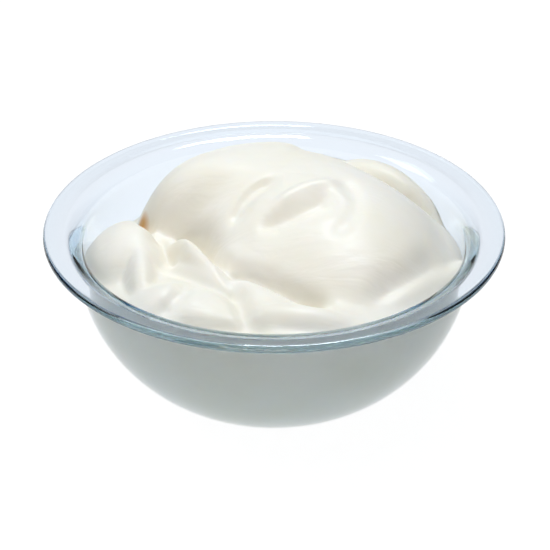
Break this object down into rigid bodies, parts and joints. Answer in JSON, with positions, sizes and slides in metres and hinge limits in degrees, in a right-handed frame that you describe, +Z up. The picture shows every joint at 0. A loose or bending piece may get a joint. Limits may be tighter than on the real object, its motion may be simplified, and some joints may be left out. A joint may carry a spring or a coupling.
{
  "type": "bowl of frozen yogurt",
  "caption": "Clear glass bowl with a wide flat lip, heaped with smooth white spooned yogurt that stands above the rim.",
  "frame": {"origin": "middle of the circle that the foot ring stands on", "axes": "+Z up out of the mouth, -Y towards the low front of the heap, +X to its right"},
  "size_m": [0.21, 0.21, 0.0995],
  "materials": {
    "glass": "clear polished glass with a faint blue tint, darker blue where the lip is seen edge on",
    "yogurt": "creamy white, smooth and moist, soft gloss"
  },
  "bodies": {
    "root": {"bowl": "glass", "yogurt": "yogurt"}
  },
  "joints": []
}
